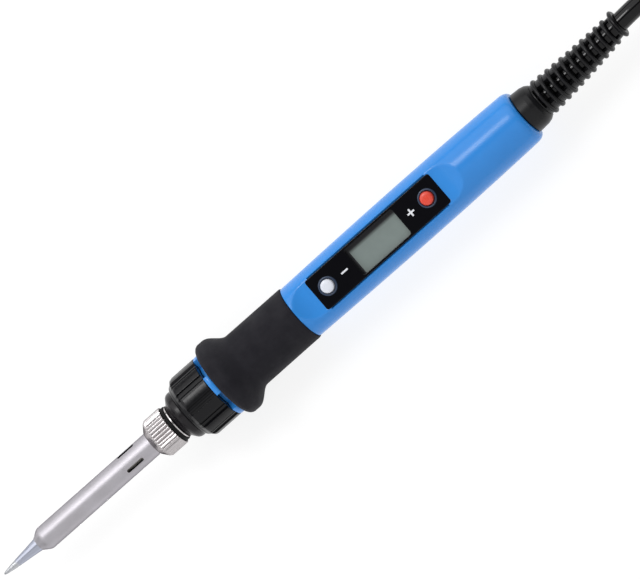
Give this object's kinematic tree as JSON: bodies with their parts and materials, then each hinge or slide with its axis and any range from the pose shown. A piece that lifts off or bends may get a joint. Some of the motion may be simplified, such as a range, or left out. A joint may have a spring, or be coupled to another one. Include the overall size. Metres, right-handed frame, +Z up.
{
  "type": "soldering iron",
  "caption": "Temperature-adjustable mains soldering iron with a replaceable tip, knurled retaining nut, ribbed collar, soft grip, display with push buttons, and a tied mains cord with its plug.",
  "frame": {"origin": "on the surface that the iron lies on, under the middle of the iron without its free cord: within 0.3 mm of halfway between the tip's point and the end of the strain relief", "axes": "+X along the iron from the tip towards the cord, +Y to the left when looking from the tip to the cord with the display up, +Z up, the way the display faces"},
  "size_m": [0.4401, 0.0566, 0.0289],
  "materials": {
    "tip_plating": "iron and chrome plated copper, tinned point",
    "barrel_steel": "satin stainless tube",
    "nut_nickel": "bright nickel-plated brass, straight knurl",
    "sleeve_nickel": "bright nickel-plated brass",
    "alumina": "sintered alumina",
    "lead_wire": "nickel wire",
    "terminal_green": "moulded terminal block",
    "washer_black": "pressed black fibre",
    "neck_black": "moulded heat-resistant plastic, semi-gloss",
    "collar_black": "moulded heat-resistant plastic, ribbed",
    "grip_rubber": "soft matte grip rubber with a fine texture",
    "housing_blue": "glossy injection-moulded blue plastic",
    "panel_black": "high-gloss black display panel",
    "lcd_grey": "grey-green display glass",
    "backlight_white": "white diffuser",
    "button_white": "moulded white button",
    "button_red": "moulded red button",
    "plunger_ivory": "switch plunger",
    "switch_grey": "switch body",
    "board_green": "glass-epoxy board with solder mask",
    "chip_black": "moulded chip package",
    "capacitor_blue": "sleeved aluminium can",
    "capacitor_yellow": "boxed film capacitor",
    "wire_brown": "insulated conductor",
    "wire_blue": "insulated conductor",
    "wire_green_yellow": "insulated conductor",
    "clamp_black": "moulded clamp",
    "screw_steel": "zinc-plated steel",
    "relief_black": "soft moulded black rubber",
    "cord_black": "glossy black cord sheath",
    "tie_black": "woven hook-and-loop strap",
    "plug_black": "moulded plug body",
    "pin_brass": "nickel-plated brass pins"
  },
  "bodies": {
    "handle": {"threaded_sleeve": "sleeve_nickel", "heater_element": "alumina", "heater_collar": "alumina", "heater_leads": "lead_wire", "lead_terminals": "terminal_green", "spacer_washer": "washer_black", "front_neck": "neck_black", "ribbed_collar": "collar_black", "grip_sleeve": "grip_rubber", "housing_top": "housing_blue", "housing_bottom": "housing_blue", "display_panel": "panel_black", "lcd_glass": "lcd_grey", "lcd_backlight": "backlight_white", "minus_switch": "switch_grey", "plus_switch": "switch_grey", "circuit_board": "board_green", "controller_chip": "chip_black", "electrolytic_capacitor": "capacitor_blue", "film_capacitor": "capacitor_yellow", "triac": "chip_black", "live_wire": "wire_brown", "neutral_wire": "wire_blue", "earth_wire": "wire_green_yellow", "cord_clamp": "clamp_black", "clamp_screws": "screw_steel", "housing_screws": "screw_steel", "strain_relief": "relief_black", "inner_cord": "cord_black", "cord_lead": "cord_black", "cord_hank": "cord_black", "plug_lead": "cord_black", "hank_tie": "tie_black", "plug_body": "plug_black", "plug_pins": "pin_brass"},
    "barrel": {"barrel": "barrel_steel", "tip": "tip_plating"},
    "nut": {"knurled_nut": "nut_nickel"},
    "minus_button": {"minus_button": "button_white", "minus_plunger": "plunger_ivory"},
    "plus_button": {"plus_button": "button_red", "plus_plunger": "plunger_ivory"}
  },
  "joints": [
    {"name": "barrel_slide", "type": "slide", "parent": "handle", "child": "barrel", "axis": [-1, 0, 0], "range_m": [0, 0.00375]},
    {"name": "nut_turn", "type": "hinge", "parent": "barrel", "child": "nut", "pos_m": [-0.063, 0, 0.01345], "axis": [-1, 0, 0], "range_deg": [0, 1800]},
    {"name": "minus_button_press", "type": "slide", "parent": "handle", "child": "minus_button", "axis": [0, 0, -1], "range_m": [0, 0.0005], "stiffness_N_per_m": 3000, "springref_m": -0.0004},
    {"name": "plus_button_press", "type": "slide", "parent": "handle", "child": "plus_button", "axis": [0, 0, -1], "range_m": [0, 0.0005], "stiffness_N_per_m": 3000, "springref_m": -0.0004}
  ],
  "couplings": [
    {"joint": "nut_turn", "follows": "barrel_slide", "rad_per_m": 8377.6}
  ]
}
